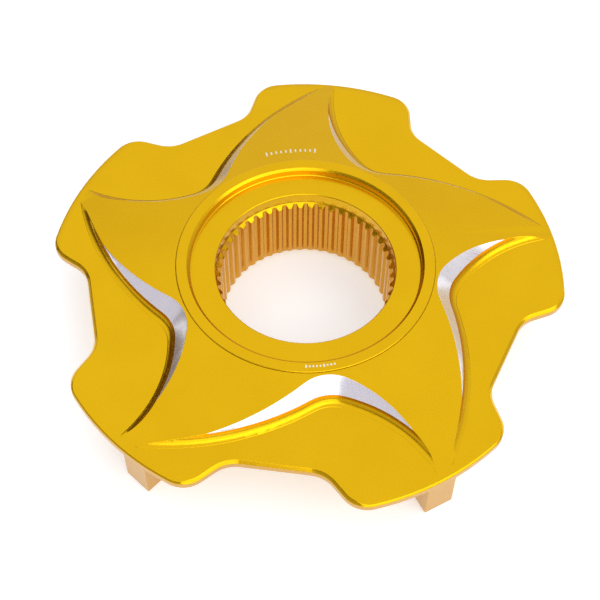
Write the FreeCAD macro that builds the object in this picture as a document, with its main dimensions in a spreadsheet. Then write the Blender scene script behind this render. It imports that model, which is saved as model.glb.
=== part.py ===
import FreeCAD, Part
import math
import os

import Sketcher

from FreeCAD import Placement, Rotation, Vector

# Splined sprocket carrier with a raised swirl star, in millimetres.
# Z is the spline's axis and z = 0 is the plane of the leg feet. One lobe points along +Y.
# Every swirl is drawn in the frame of one notch, whose axis is local X, and turned into place.

SIZES = {
    "lobe_count": 5,
    "outer_radius": 76.5,
    "notch_distance": 63.5,
    "notch_half_width": 13.45,
    "notch_fillet": 9.0,
    "lobe_corner": 8.0,
    "flank_angle": 45.0,
    "plate_underside": 22.0,
    "edge_top": 23.9,
    "edge_bevel": 1.2,
    "floor_height": 24.8,
    "cone_radius": 37.85,
    "cone_height": 32.17,
    "cone_angle": 11.55,
    "cove_radius": 3.0,
    "facet_angle": 49.0,
    "facet_height": 27.5,
    "hub_radius": 37.8,
    "hub_seat": 28.0,
    "hub_top": 32.5,
    "hub_break": 0.2,
    "recess_radius": 33.9,
    "recess_floor": 29.7,
    "recess_corner": 0.3,
    "recess_bevel": 0.75,
    "pilot_radius": 26.4,
    "pilot_bevel": 0.25,
    "tooth_count": 50,
    "tooth_root_radius": 26.0,
    "tooth_tip_radius": 25.0,
    "tooth_top": 26.1,
    "tooth_flank_angle": 30.0,
    "sleeve_radius": 31.0,
    "sleeve_bottom": 1.3,
    "sleeve_chamfer": 0.6,
    "leg_width": 8.9,
    "leg_offset": 3.35,
    "leg_outer": 73.4,
    "leg_depth": 14.0,
    "leg_socket": 0.5,
    "foot_chamfer": 0.3,
    "fit_gap": 0.05,
    "hub_screw_radius": 35.85,
    "leg_screw_inner": 62.4,
    "leg_screw_outer": 70.0,
    "leg_screw_seat": 12.5,
    "screw_radius": 1.5,
    "screw_clearance": 0.2,
    "screw_head_radius": 2.75,
    "screw_head_height": 3.0,
    "hub_screw_length": 6.0,
    "leg_screw_length": 12.0,
    "screw_chamfer": 0.3,
    "key_across_flats": 2.5,
    "key_depth": 1.4,
}

doc = FreeCAD.newDocument("sprocket_carrier")
sheet = doc.addObject("Spreadsheet::Sheet", "sizes")
for row, (alias, value) in enumerate(SIZES.items(), start=1):
    sheet.set(f"A{row}", alias)
    sheet.set(f"B{row}", str(value))
    sheet.setAlias(f"B{row}", alias)
doc.recompute()


def size(alias):
    return float(sheet.get(alias))


LOBES = int(size("lobe_count"))
TEETH = int(size("tooth_count"))
PITCH = 360.0 / LOBES
LOBE_ANGLE = 90.0
NOTCH_ANGLE = LOBE_ANGLE + PITCH / 2
# cutting tools run out to FAR from the axis and up to TOP, clear of the finished plate
FAR = 92.0
TOP = 36.0
FACET_TOP = 33.5
OVERRUN = 4.0
EPS = 1e-6


# ---------------------------------------------------------------- outlines as chains of edges
def unit(degrees):
    return Vector(math.cos(math.radians(degrees)), math.sin(math.radians(degrees)), 0)


def arc(centre, radius, start, end):
    """An arc from the angle start to the angle end, in degrees, turning the short way round."""
    low, high = sorted((start, end))
    circle = Part.Circle(centre, Vector(0, 0, 1), radius)
    return Part.ArcOfCircle(circle, math.radians(low), math.radians(high))


def tangent_chain(start, heading, turns):
    """Arcs that run on from each other; a turn is (radius, degrees), positive to the left."""
    edges = []
    point = start
    for radius, turn in turns:
        side = 1 if turn > 0 else -1
        centre = point + unit(heading + 90 * side) * radius
        first = heading - 90 * side
        edges.append(arc(centre, radius, first, first + turn))
        point = centre + unit(first + turn) * radius
        heading += turn
    return edges, point, heading


def shifted(turns, offset):
    """The same turns for a path that lies offset to the right of the first one."""
    return [(radius + (offset if turn > 0 else -offset), turn) for radius, turn in turns]


def lobed_outline(inset):
    """The plate's outline, moved inwards all round by inset."""
    flank = size("flank_angle")
    reach = size("outer_radius") - inset
    hollow = size("notch_fillet") + inset
    corner = size("lobe_corner") - inset
    chord = size("notch_distance") - inset
    # the corner's centre is on a line parallel to the flank and on a circle about the axis
    knee = Vector(size("notch_distance"), size("notch_half_width"), 0)
    middle = size("outer_radius") - size("lobe_corner")
    lean = knee.dot(unit(flank + 90)) + size("lobe_corner")
    corner_angle = flank + 90 - math.degrees(math.acos(lean / middle))
    corner_centre = unit(corner_angle) * middle
    hollow_rise = size("notch_half_width") - size("notch_fillet") * math.tan(
        math.radians((90 - flank) / 2))
    hollow_centre = Vector(size("notch_distance") + size("notch_fillet"), hollow_rise, 0)
    edges = []
    for number in range(LOBES):
        turn = NOTCH_ANGLE + number * PITCH
        place = Placement(Vector(), Rotation(Vector(0, 0, 1), turn))
        for side in (1, -1):
            def local(point):
                return place.multVec(Vector(point.x, side * point.y, 0))

            def local_arc(centre, radius, first, last):
                edges.append(arc(local(centre), radius, side * first + turn, side * last + turn))

            def end(centre, radius, angle):
                return local(centre + unit(angle) * radius)

            local_arc(hollow_centre, hollow, 180, 90 + flank)
            edges.append(Part.LineSegment(end(hollow_centre, hollow, 90 + flank),
                                          end(corner_centre, corner, flank - 90)))
            local_arc(corner_centre, corner, flank - 90, corner_angle)
        edges.append(Part.LineSegment(place.multVec(Vector(chord, -hollow_rise, 0)),
                                      place.multVec(Vector(chord, hollow_rise, 0))))
        first = turn + corner_angle
        edges.append(arc(Vector(), reach, first, first + PITCH - 2 * corner_angle))
    return edges


# the pocket's wall is three tangent arcs with a straight run in and a straight run out
WALL_START = Vector(60.3, -38.8, 0)
WALL_HEADING = 91.2
WALL_TURNS = [(74.5, 38.3), (11.8, -47.4), (43.0, -43.3)]
WALL_RUN_IN = 24.0
WALL_ENTRY = WALL_START - unit(WALL_HEADING) * WALL_RUN_IN


def pocket_outline(offset=0.0):
    """The pocket that one notch opens, closed outside the plate, its wall moved out by offset."""
    outwards = unit(WALL_HEADING - 90) * offset
    start = WALL_START + outwards
    entry = WALL_ENTRY + outwards
    edges, end, heading = tangent_chain(start, WALL_HEADING, shifted(WALL_TURNS, offset))
    after = end + unit(heading) * ((FAR - end.x) / unit(heading).x)
    corner = Vector(FAR, entry.y, 0)
    return edges + [
        Part.LineSegment(end, after),
        Part.LineSegment(after, corner),
        Part.LineSegment(corner, entry),
        Part.LineSegment(entry, start),
    ]


def facet_outline(level):
    """The section at a height of level through the chamfer that follows the pocket's wall."""
    rise = level - size("facet_height")
    return pocket_outline(-rise / math.tan(math.radians(size("facet_angle"))))


# ---------------------------------------------------------------- FreeCAD helpers
def origin_item(body, role):
    return next(item for item in body.Origin.OriginFeatures if item.Role == role)


def new_sketch(body, name, height=None, role="XY_Plane"):
    sketch = body.newObject("Sketcher::SketchObject", name)
    sketch.AttachmentSupport = [(origin_item(body, role), "")]
    sketch.MapMode = "FlatFace"
    if height is not None:
        sketch.setExpression("AttachmentOffset.Base.z", height)
    return sketch


def join_ends(sketch):
    """Makes every pair of end points that meet coincident."""
    seen = []
    for index, edge in enumerate(sketch.Geometry):
        for vertex, point in ((1, edge.StartPoint), (2, edge.EndPoint)):
            for other, other_vertex, other_point in seen:
                if (point - other_point).Length < EPS:
                    sketch.addConstraint(
                        Sketcher.Constraint("Coincident", other, other_vertex, index, vertex))
            seen.append((index, vertex, point))


def outline_sketch(body, name, edges, height):
    sketch = new_sketch(body, name, height)
    sketch.addGeometry(edges, False)
    join_ends(sketch)
    return sketch


def evaluate(expression):
    return float(sheet.evalExpression(expression.replace("sizes.", "")))


def profile_sketch(body, name, corners):
    """A closed polygon in the XZ plane; each corner is a radius and a height, as expressions."""
    sketch = new_sketch(body, name, role="XZ_Plane")
    points = [Vector(evaluate(across), evaluate(up), 0) for across, up in corners]
    for first, second in zip(points, points[1:] + points[:1]):
        sketch.addGeometry(Part.LineSegment(first, second), False)
    for index in range(len(points)):
        following = (index + 1) % len(points)
        sketch.addConstraint(Sketcher.Constraint("Coincident", index, 2, following, 1))
    for index, (across, up) in enumerate(corners):
        for kind, value, text in (("DistanceX", points[index].x, across),
                                  ("DistanceY", points[index].y, up)):
            number = sketch.addConstraint(
                Sketcher.Constraint(kind, -1, 1, index, 1, value))
            sketch.setExpression(f"Constraints[{number}]", text)
    return sketch


def circle_sketch(body, name, places, radius, height):
    """Circles of one radius; each place is a pair of expressions, X and Y."""
    sketch = new_sketch(body, name, height)
    for index, (across, up) in enumerate(places):
        middle = Vector(evaluate(across), evaluate(up), 0)
        sketch.addGeometry(Part.Circle(middle, Vector(0, 0, 1), evaluate(radius)), False)
        for constraint, text in (
                (Sketcher.Constraint("DistanceX", -1, 1, index, 3, middle.x), across),
                (Sketcher.Constraint("DistanceY", -1, 1, index, 3, middle.y), up),
                (Sketcher.Constraint("Radius", index, evaluate(radius)), radius)):
            number = sketch.addConstraint(constraint)
            sketch.setExpression(f"Constraints[{number}]", text)
    return sketch


def feature(body, kind, name, sketch, **values):
    item = body.newObject(kind, name)
    item.Profile = sketch
    for key, value in values.items():
        if isinstance(value, str):
            item.setExpression(key, value)
        else:
            setattr(item, key, value)
    doc.recompute()
    return item


def revolve(body, kind, name, sketch):
    return feature(body, kind, name, sketch, ReferenceAxis=(sketch, ["V_Axis"]), Angle=360.0)


def repeat(body, name, originals, count):
    pattern = body.newObject("PartDesign::PolarPattern", name)
    pattern.Originals = originals
    pattern.Axis = (origin_item(body, "Z_Axis"), [""])
    pattern.Angle = 360.0
    pattern.setExpression("Occurrences", count)
    body.Tip = pattern
    doc.recompute()
    return pattern


def loft(body, name, lower, upper):
    item = body.newObject("PartDesign::AdditiveLoft", name)
    item.Profile = lower
    item.Sections = [upper]
    item.Ruled = True
    doc.recompute()
    return item


def turned(degrees):
    return Placement(Vector(), Rotation(Vector(0, 0, 1), degrees))


# ---------------------------------------------------------------- pocket and facet cutter
def make_cutter():
    """What one notch's pocket removes: a coved wall with the tapered facet above it."""
    body = doc.addObject("PartDesign::Body", "pocket_cutter")
    wall = outline_sketch(body, "wall_path", pocket_outline(), "sizes.floor_height")
    pad = feature(body, "PartDesign::Pad", "wall_space", wall, Length=f"{TOP} - sizes.floor_height")
    floor = size("floor_height")
    names = []
    for index, edge in enumerate(pad.Shape.Edges, start=1):
        ends = [vertex.Point for vertex in edge.Vertexes]
        low = all(abs(point.z - floor) < EPS for point in ends)
        closing = all(point.x > FAR - EPS or point.y < WALL_ENTRY.y + EPS for point in ends)
        if low and not closing:
            names.append(f"Edge{index}")
    cove = body.newObject("PartDesign::Fillet", "wall_cove")
    cove.Base = (pad, names)
    cove.setExpression("Radius", "sizes.cove_radius")
    doc.recompute()
    lower = outline_sketch(body, "facet_low", facet_outline(floor), "sizes.floor_height")
    upper = outline_sketch(body, "facet_high", facet_outline(FACET_TOP), str(FACET_TOP))
    loft(body, "facet_space", lower, upper)
    return body


# ---------------------------------------------------------------- the plate
def make_blank():
    """The plate before its pockets: outline, bevel, turned cone, bore and the holes below."""
    body = doc.addObject("PartDesign::Body", "plate_blank")
    base = outline_sketch(body, "outline", lobed_outline(0), "sizes.plate_underside")
    feature(body, "PartDesign::Pad", "edge", base, Length="sizes.edge_top - sizes.plate_underside")
    inset = size("edge_bevel")
    foot = outline_sketch(body, "bevel_foot", lobed_outline(0), "sizes.edge_top")
    brow = outline_sketch(body, "bevel_top", lobed_outline(inset),
                          "sizes.edge_top + sizes.edge_bevel")
    loft(body, "bevel", foot, brow)
    upper = outline_sketch(body, "upper_outline", lobed_outline(inset),
                           "sizes.edge_top + sizes.edge_bevel")
    feature(body, "PartDesign::Pad", "upper_stock", upper,
            Length=f"{TOP} - sizes.edge_top - sizes.edge_bevel")
    fall = "tan(sizes.cone_angle * 1deg)"
    inner = f"sizes.cone_radius - {OVERRUN}"
    outer = f"sizes.outer_radius + {OVERRUN}"
    sky = str(TOP + OVERRUN)
    cone = profile_sketch(body, "cone_profile", [
        (inner, f"sizes.cone_height + {OVERRUN} * {fall}"),
        (outer, f"sizes.cone_height - ({outer} - sizes.cone_radius) * {fall}"),
        (outer, sky),
        (inner, sky),
    ])
    revolve(body, "PartDesign::Groove", "cone_cut", cone)
    below = f"sizes.plate_underside - {OVERRUN}"
    bore = profile_sketch(body, "bore_profile", [
        ("0", below),
        ("sizes.sleeve_radius + sizes.fit_gap", below),
        ("sizes.sleeve_radius + sizes.fit_gap", "sizes.hub_seat"),
        ("sizes.cone_radius", "sizes.hub_seat"),
        ("sizes.cone_radius", sky),
        ("0", sky),
    ])
    revolve(body, "PartDesign::Groove", "bore", bore)
    hub_place = [("0", "sizes.hub_screw_radius")]
    heads = circle_sketch(body, "head_circle", hub_place,
                          "sizes.screw_head_radius + sizes.screw_clearance",
                          "sizes.plate_underside")
    head = feature(body, "PartDesign::Pocket", "hub_screw_counterbore", heads, Reversed=True,
                   Length="sizes.screw_head_height + sizes.screw_clearance")
    shanks = circle_sketch(body, "shank_circle", hub_place,
                           "sizes.screw_radius + sizes.screw_clearance",
                           "sizes.plate_underside")
    shank = feature(body, "PartDesign::Pocket", "hub_screw_hole", shanks, Reversed=True,
                    Length="sizes.hub_seat - sizes.plate_underside")
    socket = new_sketch(body, "socket_outline", "sizes.plate_underside")
    socket.addGeometry(leg_rectangle(size("fit_gap")), False)
    join_ends(socket)
    seat = feature(body, "PartDesign::Pocket", "leg_socket", socket, Reversed=True,
                   Length="sizes.leg_socket")
    taps = circle_sketch(body, "tapped_circles", leg_screw_places(),
                         "sizes.screw_radius + sizes.fit_gap", "sizes.plate_underside")
    tap = feature(body, "PartDesign::Pocket", "leg_tapped_holes", taps, Reversed=True,
                  Length="sizes.leg_screw_seat + sizes.leg_screw_length"
                         " - sizes.plate_underside + 2 * sizes.fit_gap")
    repeat(body, "underside_pattern", [head, shank, seat, tap], "sizes.lobe_count")
    return body


def make_star_plate(blank, cutter):
    plate = blank
    for number in range(LOBES):
        copy = doc.addObject("App::Link", f"pocket_{number + 1}")
        copy.LinkedObject = cutter
        copy.Placement = turned(NOTCH_ANGLE + number * PITCH)
        cut = doc.addObject("Part::Cut", f"plate_cut_{number + 1}")
        cut.Base = plate
        cut.Tool = copy
        doc.recompute()
        plate = cut
    return plate


# ---------------------------------------------------------------- the splined hub
def make_hub():
    body = doc.addObject("PartDesign::Body", "hub")
    lead = "sizes.sleeve_chamfer"
    section = profile_sketch(body, "hub_profile", [
        (f"sizes.tooth_root_radius + {lead}", "sizes.sleeve_bottom"),
        ("sizes.tooth_tip_radius", "sizes.sleeve_bottom + sizes.tooth_root_radius"
         f" - sizes.tooth_tip_radius + {lead}"),
        ("sizes.tooth_tip_radius", "sizes.tooth_top - sizes.pilot_radius + sizes.tooth_tip_radius"),
        ("sizes.pilot_radius", "sizes.tooth_top"),
        ("sizes.pilot_radius", "sizes.recess_floor - sizes.pilot_bevel"),
        ("sizes.pilot_radius + sizes.pilot_bevel", "sizes.recess_floor"),
        ("sizes.recess_radius - sizes.recess_corner", "sizes.recess_floor"),
        ("sizes.recess_radius", "sizes.recess_floor + sizes.recess_corner"),
        ("sizes.recess_radius", "sizes.hub_top - sizes.recess_bevel"),
        ("sizes.recess_radius + sizes.recess_bevel", "sizes.hub_top"),
        ("sizes.hub_radius - sizes.hub_break", "sizes.hub_top"),
        ("sizes.hub_radius", "sizes.hub_top - sizes.hub_break"),
        ("sizes.hub_radius", "sizes.hub_seat"),
        ("sizes.sleeve_radius", "sizes.hub_seat"),
        ("sizes.sleeve_radius", f"sizes.sleeve_bottom + {lead}"),
        (f"sizes.sleeve_radius - {lead}", "sizes.sleeve_bottom"),
    ])
    revolve(body, "PartDesign::Revolution", "turned_hub", section)
    taps = circle_sketch(body, "tapped_circle", [("0", "sizes.hub_screw_radius")],
                         "sizes.screw_radius + sizes.fit_gap", "sizes.hub_seat")
    tap = feature(body, "PartDesign::Pocket", "tapped_hole", taps, Reversed=True,
                  Length="sizes.hub_screw_length - sizes.hub_seat + sizes.plate_underside"
                         " + sizes.screw_head_height + 2 * sizes.screw_clearance")
    repeat(body, "tapped_pattern", [tap], "sizes.lobe_count")
    gap = new_sketch(body, "tooth_gap", "sizes.sleeve_bottom")
    gap.addGeometry(tooth_gap(), False)
    join_ends(gap)
    cut = feature(body, "PartDesign::Pocket", "tooth_gap_cut", gap, Reversed=True,
                  Length="sizes.tooth_top - sizes.sleeve_bottom")
    repeat(body, "spline", [cut], "sizes.tooth_count")
    return body


def tooth_gap():
    """The space between two spline teeth: narrow at its root, with flanks at 30 degrees."""
    root = size("tooth_root_radius")
    tip = size("tooth_tip_radius")
    pitch = 2 * math.pi * (root + tip) / 2 / TEETH
    slope = math.tan(math.radians(size("tooth_flank_angle")))
    root_half = pitch / 4 - slope * (root - tip) / 2
    inner = tip - OVERRUN
    inner_half = root_half + slope * (root - inner)
    lean = math.degrees(math.asin(root_half / root))
    left = unit(90 + lean) * root
    right = unit(90 - lean) * root
    return [
        arc(Vector(), root, 90 - lean, 90 + lean),
        Part.LineSegment(left, Vector(-inner_half, inner, 0)),
        Part.LineSegment(Vector(-inner_half, inner, 0), Vector(inner_half, inner, 0)),
        Part.LineSegment(Vector(inner_half, inner, 0), right),
    ]


# ---------------------------------------------------------------- legs and screws
def leg_rectangle(gap=0.0):
    """The leg's section under the lobe at +Y; it sits to one side of the lobe's centre."""
    low_x = -size("leg_offset") - size("leg_width") / 2 - gap
    high_x = -size("leg_offset") + size("leg_width") / 2 + gap
    high_y = size("leg_outer") + gap
    low_y = size("leg_outer") - size("leg_depth") - gap
    corners = [Vector(low_x, low_y, 0), Vector(high_x, low_y, 0),
               Vector(high_x, high_y, 0), Vector(low_x, high_y, 0)]
    return [Part.LineSegment(a, b) for a, b in zip(corners, corners[1:] + corners[:1])]


def leg_screw_places():
    return [("-sizes.leg_offset", "sizes.leg_screw_inner"),
            ("-sizes.leg_offset", "sizes.leg_screw_outer")]


def make_leg(number):
    body = doc.addObject("PartDesign::Body", f"leg_{number}")
    outline = new_sketch(body, f"leg_outline_{number}")
    outline.addGeometry(leg_rectangle(), False)
    join_ends(outline)
    bar = feature(body, "PartDesign::Pad", f"leg_bar_{number}", outline,
                  Length="sizes.plate_underside + sizes.leg_socket")
    edges = [f"Edge{index}" for index, edge in enumerate(bar.Shape.Edges, start=1)
             if abs(edge.CenterOfMass.z) < EPS]
    chamfer = body.newObject("PartDesign::Chamfer", f"foot_chamfer_{number}")
    chamfer.Base = (bar, edges)
    chamfer.setExpression("Size", "sizes.foot_chamfer")
    doc.recompute()
    heads = circle_sketch(body, f"leg_heads_{number}", leg_screw_places(),
                          "sizes.screw_head_radius + sizes.screw_clearance", "0")
    feature(body, "PartDesign::Pocket", f"leg_counterbores_{number}", heads, Reversed=True,
            Length="sizes.leg_screw_seat")
    shanks = circle_sketch(body, f"leg_shanks_{number}", leg_screw_places(),
                           "sizes.screw_radius + sizes.screw_clearance", "0")
    feature(body, "PartDesign::Pocket", f"leg_holes_{number}", shanks, Reversed=True,
            Length="sizes.plate_underside + sizes.leg_socket")
    body.Placement = turned((number - 1) * PITCH)
    return body


def make_screw(name, length):
    """A socket screw that points up; its head's seat is at z = 0."""
    body = doc.addObject("PartDesign::Body", name)
    head = "sizes.screw_head_height"
    edge = "sizes.screw_chamfer"
    section = profile_sketch(body, f"{name}_profile", [
        ("0", f"-{head}"),
        (f"sizes.screw_head_radius - {edge}", f"-{head}"),
        ("sizes.screw_head_radius", f"{edge} - {head}"),
        ("sizes.screw_head_radius", "0"),
        ("sizes.screw_radius", "0"),
        ("sizes.screw_radius", f"{length} - {edge}"),
        (f"sizes.screw_radius - {edge}", length),
        ("0", length),
    ])
    revolve(body, "PartDesign::Revolution", f"{name}_turned", section)
    key = new_sketch(body, f"{name}_key", f"-{head}")
    corner = size("key_across_flats") / math.sqrt(3)
    points = [unit(60 * step) * corner for step in range(6)]
    lines = [Part.LineSegment(a, b) for a, b in zip(points, points[1:] + points[:1])]
    key.addGeometry(lines, False)
    join_ends(key)
    feature(body, "PartDesign::Pocket", f"{name}_socket", key, Reversed=True,
            Length="sizes.key_depth")
    return body


def make_group(name, screw, places):
    """Copies of one screw at the places, each an angle, a radius, a side step and a height."""
    copies = []
    for index, (angle, radius, step, height) in enumerate(places, start=1):
        copy = doc.addObject("App::Link", f"{name}_{index}")
        copy.LinkedObject = screw
        spot = unit(angle) * radius + unit(angle + 90) * step
        copy.Placement = Placement(spot + Vector(0, 0, height), Rotation(Vector(0, 0, 1), angle))
        copies.append(copy)
    group = doc.addObject("Part::Compound", name)
    group.Links = copies
    return group


# ---------------------------------------------------------------- the assembly
blank = make_blank()
cutter = make_cutter()
nodes = {"star_plate": make_star_plate(blank, cutter), "splined_hub": make_hub()}
for number in range(1, LOBES + 1):
    nodes[f"drive_leg_{number}"] = make_leg(number)

lobe_angles = [LOBE_ANGLE + number * PITCH for number in range(LOBES)]
hub_seat = size("plate_underside") + size("screw_head_height") + size("screw_clearance")
nodes["hub_screws"] = make_group(
    "hub_screw", make_screw("hub_screw_model", "sizes.hub_screw_length"),
    [(angle, size("hub_screw_radius"), 0.0, hub_seat) for angle in lobe_angles])
nodes["leg_screws"] = make_group(
    "leg_screw", make_screw("leg_screw_model", "sizes.leg_screw_length"),
    [(angle, size(ring), size("leg_offset"), size("leg_screw_seat"))
     for angle in lobe_angles for ring in ("leg_screw_inner", "leg_screw_outer")])

for label, item in nodes.items():
    item.Label = label
doc.recompute()

for item in doc.Objects:
    if "Invalid" in item.State or "Error" in item.State:
        raise RuntimeError(f"{item.Name} did not recompute: {item.State}")
for label, item in nodes.items():
    if item.Shape.isNull() or not item.Shape.isValid():
        raise RuntimeError(f"{label} has no valid shape")

os.makedirs("parts", exist_ok=True)
for label, item in nodes.items():
    item.Shape.exportStep(os.path.join("parts", f"{label}.step"))
    print(f"{label}: {len(item.Shape.Solids)} solids, {item.Shape.Volume / 1000:.2f} cm3")
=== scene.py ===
"""Finishes, marks, stage and camera for a splined sprocket carrier with a raised swirl star."""

import math

import bpy
from bpy.props import FloatProperty, FloatVectorProperty, IntProperty, PointerProperty
from mathutils import Matrix, Vector


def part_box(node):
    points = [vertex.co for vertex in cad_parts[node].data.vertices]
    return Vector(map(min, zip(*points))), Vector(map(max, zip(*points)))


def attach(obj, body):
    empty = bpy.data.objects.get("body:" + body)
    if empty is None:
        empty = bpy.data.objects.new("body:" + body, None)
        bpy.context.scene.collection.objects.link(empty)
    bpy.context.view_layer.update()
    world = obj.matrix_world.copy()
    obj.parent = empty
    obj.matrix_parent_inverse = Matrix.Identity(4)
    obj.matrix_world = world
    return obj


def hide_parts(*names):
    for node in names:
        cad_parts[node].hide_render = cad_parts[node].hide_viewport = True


bl_info = {
    "name": "Sprocket carrier finishes",
    "version": (1, 0, 0),
    "blender": (4, 5, 0),
    "location": "View3D > Sidebar > Carrier",
    "description": "Finishes, marks, stage and camera for a splined sprocket carrier",
    "category": "Object",
}

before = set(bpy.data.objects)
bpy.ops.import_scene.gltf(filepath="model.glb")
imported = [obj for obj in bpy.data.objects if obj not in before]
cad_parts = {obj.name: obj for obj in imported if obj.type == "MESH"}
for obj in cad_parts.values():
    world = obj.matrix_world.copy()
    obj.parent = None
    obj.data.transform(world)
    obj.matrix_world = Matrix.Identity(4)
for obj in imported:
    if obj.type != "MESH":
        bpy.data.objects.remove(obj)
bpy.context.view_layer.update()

MM = 0.001
LEGS = 5
BODY = "root"
# a face whose normal's Z is above this lies level
LEVEL = 0.9999

# places that the finishes go by, measured from the frame's own boxes
plate_low, plate_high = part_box("star_plate")
hub_low, hub_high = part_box("splined_hub")
HUB_RADIUS = hub_high.x
SIDE_WALL_TOP = plate_low.z + 2.0 * MM
POCKET_FLOOR = plate_low.z + 2.8 * MM
FACET_FOOT = plate_low.z + 5.4 * MM
CONE_TOP = plate_high.z
CONE_ANGLE = math.radians(11.55)
SPLINE_LIMIT = 26.2 * MM
# the Z of a facet's normal lies between these two, and that of a wall's within UPRIGHT of zero
FACET_TILT = (0.4, 0.9)
UPRIGHT = 0.05

# how the frame's triangles are joined, and how the broken edges are cleaned and shaded
MERGE_DISTANCE = 0.002 * MM
SAME_HEIGHT = 0.01 * MM
FLAT_TURN = math.radians(0.4)
SPECK = 0.0005 * MM
SMOOTH_TURN = math.radians(40)

# the rows of ticks
ARM_STEP = 1.5 * MM
RING_STEP = 1.0 * MM
SHORT_TICK = 0.62

# the dome's dim side and its dark flag, as turns from the camera's own azimuth
DIM_SIDE = math.radians(250)
DARK_FLAG = math.radians(143)


# ---------------------------------------------------------------- settings
class CarrierFinishSettings(bpy.types.PropertyGroup):
    """Colours and edge sizes of the carrier's own pieces."""

    gold: FloatVectorProperty(
        name="Blasted gold", description="Anodised colour of the plate and hub",
        default=(0.80, 0.475, 0.005), subtype="COLOR", min=0, max=1)
    deep_gold: FloatVectorProperty(
        name="Deep gold", description="Darker grain of the anodised colour",
        default=(0.75, 0.435, 0.004), subtype="COLOR", min=0, max=1)
    milled_gold: FloatVectorProperty(
        name="Milled gold", description="Paler gold of the legs and the plate's side wall",
        default=(0.66, 0.37, 0.075), subtype="COLOR", min=0, max=1)
    # darker than the plate's gold: partly the broached finish, partly painted shade inside the bore
    # between the teeth
    spline_gold_and_painted_shade: FloatVectorProperty(
        name="Spline gold", description="Broached flanks of the spline teeth",
        default=(0.74, 0.36, 0.02), subtype="COLOR", min=0, max=1)
    bright_cut: FloatVectorProperty(
        name="Bright cut", description="Bare metal of the facets cut after anodising",
        default=(0.90, 0.885, 0.93), subtype="COLOR", min=0, max=1)
    black_oxide: FloatVectorProperty(
        name="Black oxide", description="Finish of the screws",
        default=(0.035, 0.035, 0.04), subtype="COLOR", min=0, max=1)
    etch_white: FloatVectorProperty(
        name="Etched white", description="Laser-etched alignment marks",
        default=(0.88, 0.86, 0.78), subtype="COLOR", min=0, max=1)
    gold_roughness: FloatProperty(
        name="Gold roughness", description="Gloss of the anodised faces",
        default=0.23, min=0, max=1, subtype="FACTOR")
    facet_roughness: FloatProperty(
        name="Facet roughness", description="Gloss of the bright cut",
        default=0.17, min=0, max=1, subtype="FACTOR")
    grain_size: FloatProperty(
        name="Grain size", description="Width of one blasting pit",
        default=0.45 * MM, min=0.05 * MM, unit="LENGTH")
    plate_break: FloatProperty(
        name="Plate edge break", description="Width of the plate's broken edges",
        default=0.14 * MM, min=0, unit="LENGTH")
    hub_break: FloatProperty(
        name="Hub edge break", description="Width of the hub's broken edges",
        default=0.09 * MM, min=0, unit="LENGTH")
    leg_break: FloatProperty(
        name="Leg edge break", description="Width of the legs' broken edges",
        default=0.18 * MM, min=0, unit="LENGTH")
    sharp_angle: FloatProperty(
        name="Sharp angle", description="Edges that turn by more than this are broken",
        default=math.radians(30), subtype="ANGLE", unit="ROTATION")


class CarrierMarkSettings(bpy.types.PropertyGroup):
    """Two plain rows of alignment ticks."""

    arm_angle: FloatProperty(
        name="Arm row angle", description="Direction of the row on the arm",
        default=math.radians(103.6), subtype="ANGLE", unit="ROTATION")
    arm_radius: FloatProperty(
        name="Arm row radius", description="Middle of the row on the arm",
        default=42.4 * MM, unit="LENGTH")
    arm_ticks: IntProperty(
        name="Arm ticks", description="Ticks in the row on the arm", default=11, min=1)
    ring_angle: FloatProperty(
        name="Ring row angle", description="Direction of the row on the hub's ring",
        default=math.radians(284), subtype="ANGLE", unit="ROTATION")
    ring_radius: FloatProperty(
        name="Ring row radius", description="Middle of the row on the hub's ring",
        default=35.9 * MM, unit="LENGTH")
    ring_ticks: IntProperty(
        name="Ring ticks", description="Ticks in the row on the ring", default=9, min=1)
    tick_width: FloatProperty(
        name="Tick width", description="Width of one tick", default=0.45 * MM, unit="LENGTH")
    tick_length: FloatProperty(
        name="Tick length", description="Length of a tick on the arm",
        default=1.9 * MM, unit="LENGTH")
    tick_height: FloatProperty(
        name="Tick height", description="How far the etching stands up",
        default=0.02 * MM, unit="LENGTH")


class CarrierStageSettings(bpy.types.PropertyGroup):
    """Floor, light and camera."""

    floor_size: FloatProperty(
        name="Floor size", description="Side of the floor", default=8.0, unit="LENGTH")
    floor_white: FloatVectorProperty(
        name="Floor", description="Colour of the floor",
        default=(0.86, 0.885, 0.93), subtype="COLOR", min=0, max=1)
    floor_glow: FloatProperty(
        name="Floor glow", description="Light from below through the table",
        default=0.40, min=0)
    camera_place: FloatVectorProperty(
        name="Camera", description="Where the camera stands",
        default=(27.51 * MM, -233.19 * MM, 364.79 * MM), subtype="XYZ", unit="LENGTH")
    camera_azimuth: FloatProperty(
        name="Azimuth", description="Turn of the camera from the +Y direction",
        default=math.radians(7.1), subtype="ANGLE", unit="ROTATION")
    camera_elevation: FloatProperty(
        name="Elevation", description="How steeply the camera looks down",
        default=math.radians(56.38), subtype="ANGLE", unit="ROTATION")
    camera_roll: FloatProperty(
        name="Roll", description="Turn about the line of sight",
        default=math.radians(0.487), subtype="ANGLE", unit="ROTATION")
    camera_lens: FloatProperty(
        name="Lens", description="Focal length in millimetres on a 36 mm sensor",
        default=83.92, min=1)
    box_azimuth: FloatProperty(
        name="Softbox azimuth", description="Direction of the softbox from the object",
        default=math.radians(302), subtype="ANGLE", unit="ROTATION")
    box_elevation: FloatProperty(
        name="Softbox elevation", description="Height of the softbox's middle",
        default=math.radians(36), subtype="ANGLE", unit="ROTATION")
    box_distance: FloatProperty(
        name="Softbox distance", description="From the object to the softbox",
        default=1.0, unit="LENGTH")
    box_width: FloatProperty(
        name="Softbox width", description="Width of the softbox", default=1.5, unit="LENGTH")
    box_height: FloatProperty(
        name="Softbox height", description="Height of the softbox", default=0.85, unit="LENGTH")
    box_radiance: FloatProperty(
        name="Softbox brightness", description="Brightness of the softbox's face",
        default=1.45, min=0)


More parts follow.
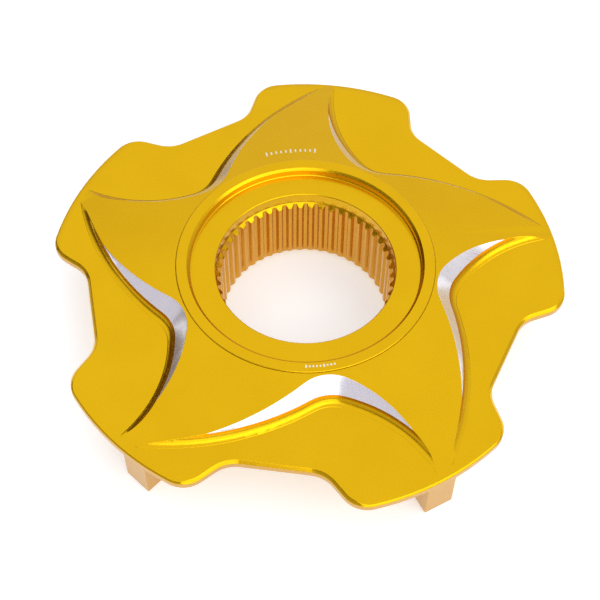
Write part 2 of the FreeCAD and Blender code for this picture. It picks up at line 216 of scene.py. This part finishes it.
# ---------------------------------------------------------------- materials
def new_material(name):
    material = bpy.data.materials.new(name)
    material.use_nodes = True
    return material, material.node_tree.nodes, material.node_tree.links


def object_coordinates(nodes, links):
    """Object coordinates, and the same as X, Y and Z."""
    place = nodes.new("ShaderNodeTexCoord")
    split = nodes.new("ShaderNodeSeparateXYZ")
    links.new(place.outputs["Object"], split.inputs[0])
    return place.outputs["Object"], split


def noise(nodes, links, vector, scale, detail=3.0, roughness=0.6):
    pattern = nodes.new("ShaderNodeTexNoise")
    pattern.inputs["Scale"].default_value = scale
    pattern.inputs["Detail"].default_value = detail
    pattern.inputs["Roughness"].default_value = roughness
    links.new(vector, pattern.inputs["Vector"])
    return pattern.outputs["Fac"]


def spread(nodes, links, value, low, high):
    """The middle of a noise's range, spread from low to high."""
    change = nodes.new("ShaderNodeMapRange")
    change.inputs["From Min"].default_value = 0.3
    change.inputs["From Max"].default_value = 0.7
    change.inputs["To Min"].default_value = low
    change.inputs["To Max"].default_value = high
    links.new(value, change.inputs["Value"])
    return change.outputs["Result"]


def feed(links, socket, value):
    """Links another socket to this one, or sets a plain number or colour on it."""
    if isinstance(value, bpy.types.NodeSocket):
        links.new(value, socket)
    elif isinstance(value, (int, float)):
        socket.default_value = value
    else:
        socket.default_value = (*value, 1)


def blend_colours(nodes, links, value, first, second):
    """A mix of two colours, each a socket or three numbers."""
    mix = nodes.new("ShaderNodeMix")
    mix.data_type = "RGBA"
    feed(links, mix.inputs["A"], first)
    feed(links, mix.inputs["B"], second)
    links.new(value, mix.inputs["Factor"])
    return mix.outputs["Result"]


def bump(nodes, links, height, depth, strength):
    relief = nodes.new("ShaderNodeBump")
    relief.inputs["Distance"].default_value = depth
    relief.inputs["Strength"].default_value = strength
    links.new(height, relief.inputs["Height"])
    return relief.outputs["Normal"]


def math_node(nodes, links, operation, first, second):
    """One Math node; an input is a socket or a number."""
    node = nodes.new("ShaderNodeMath")
    node.operation = operation
    for socket, value in zip(node.inputs, (first, second)):
        feed(links, socket, value)
    return node.outputs[0]


def anodise(shader, weight, ior, roughness):
    """Solid metal under the thin clear layer that anodising grows."""
    shader.inputs["Metallic"].default_value = 1.0
    shader.inputs["Coat Weight"].default_value = weight
    shader.inputs["Coat IOR"].default_value = ior
    shader.inputs["Coat Roughness"].default_value = roughness


def blasted_gold(name, settings, colour, deep, roughness):
    """Bead-blasted and anodised: a fine grain in colour, gloss and relief, and faint clouds."""
    material, nodes, links = new_material(name)
    shader = nodes["Principled BSDF"]
    vector, _ = object_coordinates(nodes, links)
    pits = noise(nodes, links, vector, 1 / settings.grain_size, detail=2.0, roughness=0.7)
    clouds = noise(nodes, links, vector, 1 / (18 * MM), detail=2.0)
    # the pits weigh 0.7 to the clouds' 1, and the sum goes back to about a noise's own range
    pit_weight, rescale = 0.7, 0.59
    grain = math_node(nodes, links, "MULTIPLY_ADD", pits, pit_weight)
    links.new(clouds, grain.node.inputs[2])
    tone = spread(nodes, links, math_node(nodes, links, "MULTIPLY", grain, rescale), 0.0, 1.0)
    links.new(blend_colours(nodes, links, tone, deep, colour), shader.inputs["Base Color"])
    gloss = spread(nodes, links, pits, roughness - 0.05, roughness + 0.06)
    links.new(gloss, shader.inputs["Roughness"])
    links.new(bump(nodes, links, pits, depth=0.008 * MM, strength=0.3), shader.inputs["Normal"])
    anodise(shader, weight=0.35, ior=1.2, roughness=0.3)
    return material


def lined_gold(name, colour, roughness, stretch, pitch):
    """Milled or broached gold with fine tool lines; stretch lengthens the pattern along an axis."""
    material, nodes, links = new_material(name)
    shader = nodes["Principled BSDF"]
    vector, _ = object_coordinates(nodes, links)
    turn = nodes.new("ShaderNodeMapping")
    turn.inputs["Scale"].default_value = stretch
    links.new(vector, turn.inputs["Vector"])
    lines = noise(nodes, links, turn.outputs[0], 1 / pitch, detail=3.0, roughness=0.65)
    dark = tuple(0.84 * part for part in colour)
    tone = spread(nodes, links, lines, 0.0, 1.0)
    links.new(blend_colours(nodes, links, tone, dark, colour), shader.inputs["Base Color"])
    links.new(spread(nodes, links, lines, roughness - 0.06, roughness + 0.08),
              shader.inputs["Roughness"])
    links.new(bump(nodes, links, lines, depth=0.01 * MM, strength=0.4), shader.inputs["Normal"])
    anodise(shader, weight=0.5, ior=1.25, roughness=0.25)
    return material


def bright_cut_metal(settings):
    """Bare metal with fine radial streaks, under two hundredths of a millimetre deep."""
    material, nodes, links = new_material("bright_cut")
    shader = nodes["Principled BSDF"]
    _, split = object_coordinates(nodes, links)
    angle = math_node(nodes, links, "ARCTAN2", split.outputs["Y"], split.outputs["X"])
    streaks_per_radian, streaks_per_metre = 170.0, 120.0
    across = math_node(nodes, links, "MULTIPLY", angle, streaks_per_radian)
    along = math_node(nodes, links, "MULTIPLY", split.outputs["Z"], streaks_per_metre)
    polar = nodes.new("ShaderNodeCombineXYZ")
    links.new(across, polar.inputs["X"])
    links.new(along, polar.inputs["Y"])
    streaks = noise(nodes, links, polar.outputs[0], 1.0, detail=4.0, roughness=0.7)
    dull = tuple(0.86 * part for part in settings.bright_cut)
    tone = spread(nodes, links, streaks, 0.0, 1.0)
    links.new(blend_colours(nodes, links, tone, dull, settings.bright_cut),
              shader.inputs["Base Color"])
    links.new(spread(nodes, links, streaks, settings.facet_roughness - 0.05,
                     settings.facet_roughness + 0.08), shader.inputs["Roughness"])
    links.new(bump(nodes, links, streaks, depth=0.02 * MM, strength=0.3), shader.inputs["Normal"])
    # short of full metal, so that the facets stay pale where they mirror something dark
    shader.inputs["Metallic"].default_value = 0.7
    return material


def oxide_steel(settings):
    """Black oxide with a faint mottle and rubbed high spots."""
    material, nodes, links = new_material("black_oxide")
    shader = nodes["Principled BSDF"]
    vector, _ = object_coordinates(nodes, links)
    mottle = noise(nodes, links, vector, 1 / (0.8 * MM), detail=4.0)
    worn = tuple(2.6 * part for part in settings.black_oxide)
    tone = spread(nodes, links, mottle, 0.0, 1.0)
    links.new(blend_colours(nodes, links, tone, settings.black_oxide, worn),
              shader.inputs["Base Color"])
    links.new(spread(nodes, links, mottle, 0.32, 0.5), shader.inputs["Roughness"])
    links.new(bump(nodes, links, mottle, depth=0.01 * MM, strength=0.4), shader.inputs["Normal"])
    shader.inputs["Metallic"].default_value = 0.9
    return material


def etched_white(settings):
    """Frosted bare metal that a laser leaves in the anodised layer."""
    material, nodes, links = new_material("etched_white")
    shader = nodes["Principled BSDF"]
    vector, _ = object_coordinates(nodes, links)
    frost = noise(nodes, links, vector, 1 / (0.12 * MM), detail=2.0)
    dull = tuple(0.8 * part for part in settings.etch_white)
    tone = spread(nodes, links, frost, 0.0, 1.0)
    links.new(blend_colours(nodes, links, tone, dull, settings.etch_white),
              shader.inputs["Base Color"])
    links.new(spread(nodes, links, frost, 0.5, 0.7), shader.inputs["Roughness"])
    return material


# ---------------------------------------------------------------- mesh helpers
def deselect_all():
    if bpy.context.object is not None and bpy.context.object.mode != "OBJECT":
        bpy.ops.object.mode_set(mode="OBJECT")
    bpy.ops.object.select_all(action="DESELECT")


def copy_of_node(node, name, whole_levels=()):
    """A new piece with the node's shape, its loose triangles joined into whole faces.

    Level faces stay triangles, because many are rings, except at the heights in whole_levels.
    """
    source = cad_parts[node]
    piece = bpy.data.objects.new(name, source.data.copy())
    bpy.context.scene.collection.objects.link(piece)
    piece.data.materials.clear()
    deselect_all()
    bpy.context.view_layer.objects.active = piece
    piece.select_set(True)
    bpy.ops.mesh.customdata_custom_splitnormals_clear()
    bpy.ops.object.mode_set(mode="EDIT")
    bpy.ops.mesh.select_all(action="SELECT")
    bpy.ops.mesh.remove_doubles(threshold=MERGE_DISTANCE)
    bpy.ops.mesh.select_all(action="DESELECT")
    bpy.ops.object.mode_set(mode="OBJECT")
    for face in piece.data.polygons:
        level = abs(face.normal.z) > LEVEL
        face.select = not level or any(abs(face.center.z - z) < SAME_HEIGHT for z in whole_levels)
    bpy.ops.object.mode_set(mode="EDIT")
    bpy.ops.mesh.dissolve_limited(angle_limit=FLAT_TURN, delimit=set())
    bpy.ops.object.mode_set(mode="OBJECT")
    return piece


def break_edges(piece, width, sharp_angle):
    """Rounds every sharp edge a little, as deburring does, and shades the faces smooth."""
    bpy.ops.object.mode_set(mode="EDIT")
    bpy.ops.mesh.select_mode(type="EDGE")
    bpy.ops.mesh.select_all(action="DESELECT")
    bpy.ops.mesh.edges_select_sharp(sharpness=sharp_angle)
    bpy.ops.mesh.bevel(offset=width, segments=2, affect="EDGES", clamp_overlap=False)
    bpy.ops.mesh.select_all(action="SELECT")
    bpy.ops.mesh.dissolve_degenerate(threshold=SPECK)
    bpy.ops.object.mode_set(mode="OBJECT")
    bpy.ops.object.shade_smooth_by_angle(angle=SMOOTH_TURN)
    weights = piece.modifiers.new("face_weights", "WEIGHTED_NORMAL")
    weights.keep_sharp = True
    bpy.ops.object.modifier_apply(modifier=weights.name)


def assign_faces(piece, materials, choose):
    """Gives each face the material whose index choose(face) returns."""
    for material in materials:
        piece.data.materials.append(material)
    for face in piece.data.polygons:
        face.material_index = choose(face)


def hand_over(piece, node):
    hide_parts(node)
    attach(piece, BODY)


# ---------------------------------------------------------------- the carrier's own pieces
class CARRIER_OT_finish_plate(bpy.types.Operator):
    """Breaks the plate's edges and gives it blasted gold, bright facets and a milled side"""

    bl_idname = "carrier.finish_plate"
    bl_label = "Finish the star plate"

    def execute(self, context):
        settings = context.scene.carrier_finish
        plate = copy_of_node("star_plate", "finished_star_plate", [POCKET_FLOOR])
        gold = blasted_gold("blasted_gold_plate", settings, settings.gold, settings.deep_gold,
                            settings.gold_roughness)
        side = lined_gold("milled_gold_side", settings.milled_gold, roughness=0.34,
                          stretch=(1, 1, 9), pitch=1.4 * MM)

        def choose(face):
            level = face.center.z
            if FACET_TILT[0] < face.normal.z < FACET_TILT[1] and level > FACET_FOOT:
                return 1
            if abs(face.normal.z) < UPRIGHT and level < SIDE_WALL_TOP:
                return 2
            return 0

        assign_faces(plate, [gold, bright_cut_metal(settings), side], choose)
        break_edges(plate, settings.plate_break, settings.sharp_angle)
        hand_over(plate, "star_plate")
        return {"FINISHED"}


class CARRIER_OT_finish_hub(bpy.types.Operator):
    """Breaks the hub's edges and gives it blasted gold with broached spline teeth, their colour
    darkened as painted shade inside the bore
    """

    bl_idname = "carrier.finish_hub"
    bl_label = "Finish the splined hub"

    def execute(self, context):
        settings = context.scene.carrier_finish
        hub = copy_of_node("splined_hub", "finished_splined_hub")
        gold = blasted_gold("blasted_gold_hub", settings, settings.gold, settings.deep_gold,
                            settings.gold_roughness)
        # the teeth's darker colour is partly their broached finish and partly painted shade inside
        # the bore
        teeth = lined_gold("broached_gold_painted_shade", settings.spline_gold_and_painted_shade, roughness=0.27,
                           stretch=(1, 1, 0.04), pitch=0.35 * MM)

        def choose(face):
            inside = Vector(face.center[:2]).length < SPLINE_LIMIT
            return 1 if inside and abs(face.normal.z) < 0.5 else 0

        assign_faces(hub, [gold, teeth], choose)
        break_edges(hub, settings.hub_break, settings.sharp_angle)
        hand_over(hub, "splined_hub")
        return {"FINISHED"}


class CARRIER_OT_finish_legs(bpy.types.Operator):
    """Breaks the edges of the drive legs and gives them milled gold"""

    bl_idname = "carrier.finish_legs"
    bl_label = "Finish the drive legs"

    def execute(self, context):
        settings = context.scene.carrier_finish
        milled = lined_gold("milled_gold_leg", settings.milled_gold, roughness=0.33,
                            stretch=(1, 1, 7), pitch=1.1 * MM)
        for number in range(1, LEGS + 1):
            leg = copy_of_node(f"drive_leg_{number}", f"finished_drive_leg_{number}")
            leg.data.materials.append(milled)
            break_edges(leg, settings.leg_break, settings.sharp_angle)
            hand_over(leg, f"drive_leg_{number}")
        return {"FINISHED"}


class CARRIER_OT_finish_screws(bpy.types.Operator):
    """Gives the hub screws and the leg screws black oxide"""

    bl_idname = "carrier.finish_screws"
    bl_label = "Finish the screws"

    def execute(self, context):
        steel = oxide_steel(context.scene.carrier_finish)
        for node in ("hub_screws", "leg_screws"):
            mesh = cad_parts[node].data
            mesh.materials.clear()
            mesh.materials.append(steel)
        return {"FINISHED"}


class CARRIER_OT_etch_marks(bpy.types.Operator):
    """Etches a plain row of alignment ticks on one arm and a smaller one on the hub's ring"""

    bl_idname = "carrier.etch_marks"
    bl_label = "Etch the alignment ticks"

    def row(self, name, count, angle, radius, step, tilt, height, length, marks):
        """Ticks side by side round the axis, standing radially; every fifth one is longer."""
        deselect_all()
        ticks = []
        for index in range(count):
            direction = angle + (index - (count - 1) / 2) * step / radius
            reach = length if index % 5 == 0 else SHORT_TICK * length
            place = Vector((math.cos(direction), math.sin(direction), 0)) * radius
            place.z = height
            bpy.ops.mesh.primitive_cube_add(
                size=1, location=place, rotation=(0, tilt, direction),
                scale=(reach, marks.tick_width, marks.tick_height))
            ticks.append(bpy.context.object)
        for tick in ticks:
            tick.select_set(True)
        bpy.ops.object.join()
        piece = bpy.context.object
        bpy.ops.object.transform_apply(location=True, rotation=True, scale=True)
        piece.name = name
        piece.data.name = name
        corners = piece.modifiers.new("rounded_corners", "BEVEL")
        corners.width = marks.tick_height / 3
        bpy.ops.object.modifier_apply(modifier=corners.name)
        return piece

    def execute(self, context):
        marks = context.scene.carrier_marks
        white = etched_white(context.scene.carrier_finish)
        drop = (marks.arm_radius - HUB_RADIUS) * math.tan(CONE_ANGLE)
        arm = self.row("arm_ticks", marks.arm_ticks, marks.arm_angle, marks.arm_radius,
                       ARM_STEP, CONE_ANGLE, CONE_TOP - drop, marks.tick_length, marks)
        ring = self.row("ring_ticks", marks.ring_ticks, marks.ring_angle, marks.ring_radius,
                        RING_STEP, 0.0, hub_high.z, 0.5 * marks.tick_length, marks)
        for piece, slot in ((arm, "gold_plate"), (ring, "gold_hub")):
            piece.data.materials.append(white)
            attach(piece, BODY)
        return {"FINISHED"}


# ---------------------------------------------------------------- the stage
def colour_ramp(nodes, links, value, stops):
    ramp = nodes.new("ShaderNodeValToRGB")
    ramp.color_ramp.interpolation = "EASE"
    elements = ramp.color_ramp.elements
    while len(elements) < len(stops):
        elements.new(1.0)
    for element, (position, colour) in zip(elements, stops):
        element.position = position
        element.color = (*colour, 1)
    links.new(value, ramp.inputs[0])
    return ramp.outputs[0]


def smooth_step(nodes, links, value, low, high):
    """0 below low, 1 above high, and a soft change between them."""
    change = nodes.new("ShaderNodeMapRange")
    change.interpolation_type = "SMOOTHSTEP"
    change.inputs["From Min"].default_value = low
    change.inputs["From Max"].default_value = high
    links.new(value, change.inputs["Value"])
    return change.outputs["Result"]


class CARRIER_OT_set_stage(bpy.types.Operator):
    """Lays a pale floor, sets soft studio light and places the camera"""

    bl_idname = "carrier.set_stage"
    bl_label = "Set the stage"

    def lay_floor(self, stage):
        deselect_all()
        bpy.ops.mesh.primitive_plane_add(size=stage.floor_size, location=(0, 0, 0))
        floor = bpy.context.object
        floor.name = "floor"
        material, nodes, links = new_material("pale_floor")
        shader = nodes["Principled BSDF"]
        shader.inputs["Base Color"].default_value = (*stage.floor_white, 1)
        shader.inputs["Roughness"].default_value = 0.22
        shader.inputs["IOR"].default_value = 1.35
        shader.inputs["Emission Color"].default_value = (0.95, 0.98, 1, 1)
        shader.inputs["Emission Strength"].default_value = stage.floor_glow
        floor.data.materials.append(material)

    def facing(self, nodes, links, split, azimuth):
        """How far a direction points towards an azimuth: 1 straight at it, -1 away from it."""
        return math_node(nodes, links, "ADD",
                         math_node(nodes, links, "MULTIPLY", split.outputs["X"], math.cos(azimuth)),
                         math_node(nodes, links, "MULTIPLY", split.outputs["Y"], math.sin(azimuth)))

    def light_dome(self, context, stage):
        """A dome that is white overhead, with a dim side and a dark flag low down on the left."""
        world = bpy.data.worlds.new("studio_dome")
        context.scene.world = world
        world.use_nodes = True
        nodes = world.node_tree.nodes
        links = world.node_tree.links
        background = nodes["Background"]
        place = nodes.new("ShaderNodeTexCoord")
        split = nodes.new("ShaderNodeSeparateXYZ")
        links.new(place.outputs["Generated"], split.inputs[0])
        up = split.outputs["Z"]
        toward = self.facing(nodes, links, split, DIM_SIDE + stage.camera_azimuth)
        open_side = colour_ramp(nodes, links, up, [
            (0.00, (0.50, 0.46, 0.44)), (0.18, (0.74, 0.72, 0.76)),
            (0.50, (0.90, 0.88, 0.92)), (0.78, (1.0, 1.0, 1.0))])
        # the dim side has a dark band that rises towards its middle, and is grey below it
        lean = 0.5
        leaning = math_node(nodes, links, "MULTIPLY",
                            math_node(nodes, links, "MAXIMUM", toward, 0.0), lean)
        height = math_node(nodes, links, "SUBTRACT", up, leaning)
        # the ramp starts at zero, so the height is raised by as much as the band can lean
        dim_side = colour_ramp(nodes, links, math_node(nodes, links, "ADD", height, lean), [
            (0.42, (0.64, 0.61, 0.68)), (0.53, (0.56, 0.53, 0.60)),
            (0.57, (0.07, 0.03, 0.01)), (0.69, (0.09, 0.04, 0.015)),
            (0.79, (0.58, 0.56, 0.62)), (1.00, (1.0, 1.0, 1.0))])
        side = smooth_step(nodes, links, toward, -0.20, 0.10)
        dome = blend_colours(nodes, links, side, open_side, dim_side)
        # a dark flag stands low behind and to the left
        behind_left = self.facing(nodes, links, split, DARK_FLAG + stage.camera_azimuth)
        flag = smooth_step(nodes, links, behind_left, 0.78, 0.90)
        links.new(blend_colours(nodes, links, flag, dome, (0.08, 0.035, 0.012)),
                  background.inputs["Color"])
        # the camera itself sees plain white in place of the dome
        backdrop = nodes.new("ShaderNodeBackground")
        seen = nodes.new("ShaderNodeLightPath")
        choice = nodes.new("ShaderNodeMixShader")
        links.new(seen.outputs["Is Camera Ray"], choice.inputs[0])
        links.new(background.outputs[0], choice.inputs[1])
        links.new(backdrop.outputs[0], choice.inputs[2])
        backdrop.inputs["Color"].default_value = (1, 1, 1, 1)
        links.new(choice.outputs[0], nodes["World Output"].inputs["Surface"])

    def hang_softbox(self, context, stage):
        """One large softbox in front and to the right, with a crisp edge near the camera."""
        area = stage.box_width * stage.box_height
        light = bpy.data.lights.new("softbox", "AREA")
        light.shape = "RECTANGLE"
        light.size = stage.box_width
        light.size_y = stage.box_height
        light.energy = stage.box_radiance * math.pi * area
        lamp = bpy.data.objects.new("softbox", light)
        context.scene.collection.objects.link(lamp)
        azimuth = stage.box_azimuth + stage.camera_azimuth
        level = math.cos(stage.box_elevation)
        away = Vector((math.cos(azimuth) * level, math.sin(azimuth) * level,
                       math.sin(stage.box_elevation)))
        lamp.matrix_world = (Matrix.Translation(away * stage.box_distance)
                             @ away.to_track_quat("Z", "Y").to_matrix().to_4x4())

    def place_camera(self, context, stage):
        data = bpy.data.cameras.new("camera")
        data.sensor_width = 36
        data.lens = stage.camera_lens
        camera = bpy.data.objects.new("camera", data)
        context.scene.collection.objects.link(camera)
        tilt = math.pi / 2 - stage.camera_elevation
        camera.matrix_world = (Matrix.Translation(stage.camera_place)
                               @ Matrix.Rotation(stage.camera_azimuth, 4, "Z")
                               @ Matrix.Rotation(tilt, 4, "X")
                               @ Matrix.Rotation(stage.camera_roll, 4, "Z"))
        context.scene.camera = camera

    def execute(self, context):
        stage = context.scene.carrier_stage
        self.lay_floor(stage)
        self.light_dome(context, stage)
        self.hang_softbox(context, stage)
        self.place_camera(context, stage)
        context.scene.view_settings.view_transform = "Standard"
        return {"FINISHED"}


# ---------------------------------------------------------------- panel and registration
OPERATORS = (
    CARRIER_OT_finish_plate,
    CARRIER_OT_finish_hub,
    CARRIER_OT_finish_legs,
    CARRIER_OT_finish_screws,
    CARRIER_OT_etch_marks,
    CARRIER_OT_set_stage,
)


class CARRIER_PT_sidebar(bpy.types.Panel):
    """Settings and steps of the carrier's finishes."""

    bl_label = "Sprocket carrier"
    bl_idname = "CARRIER_PT_sidebar"
    bl_space_type = "VIEW_3D"
    bl_region_type = "UI"
    bl_category = "Carrier"

    def draw(self, context):
        layout = self.layout
        for name in ("carrier_finish", "carrier_marks", "carrier_stage"):
            group = getattr(context.scene, name)
            box = layout.box()
            for key in group.__annotations__:
                box.prop(group, key)
        for operator in OPERATORS:
            layout.operator(operator.bl_idname)


GROUPS = {
    "carrier_finish": CarrierFinishSettings,
    "carrier_marks": CarrierMarkSettings,
    "carrier_stage": CarrierStageSettings,
}


def register():
    for name, group in GROUPS.items():
        bpy.utils.register_class(group)
        setattr(bpy.types.Scene, name, PointerProperty(type=group))
    for operator in OPERATORS:
        bpy.utils.register_class(operator)
    bpy.utils.register_class(CARRIER_PT_sidebar)


def unregister():
    bpy.utils.unregister_class(CARRIER_PT_sidebar)
    for operator in reversed(OPERATORS):
        bpy.utils.unregister_class(operator)
    for name, group in GROUPS.items():
        delattr(bpy.types.Scene, name)
        bpy.utils.unregister_class(group)


def main():
    register()
    bpy.ops.carrier.set_stage()
    bpy.ops.carrier.finish_plate()
    bpy.ops.carrier.finish_hub()
    bpy.ops.carrier.finish_legs()
    bpy.ops.carrier.finish_screws()
    bpy.ops.carrier.etch_marks()


if __name__ == "__main__":
    main()
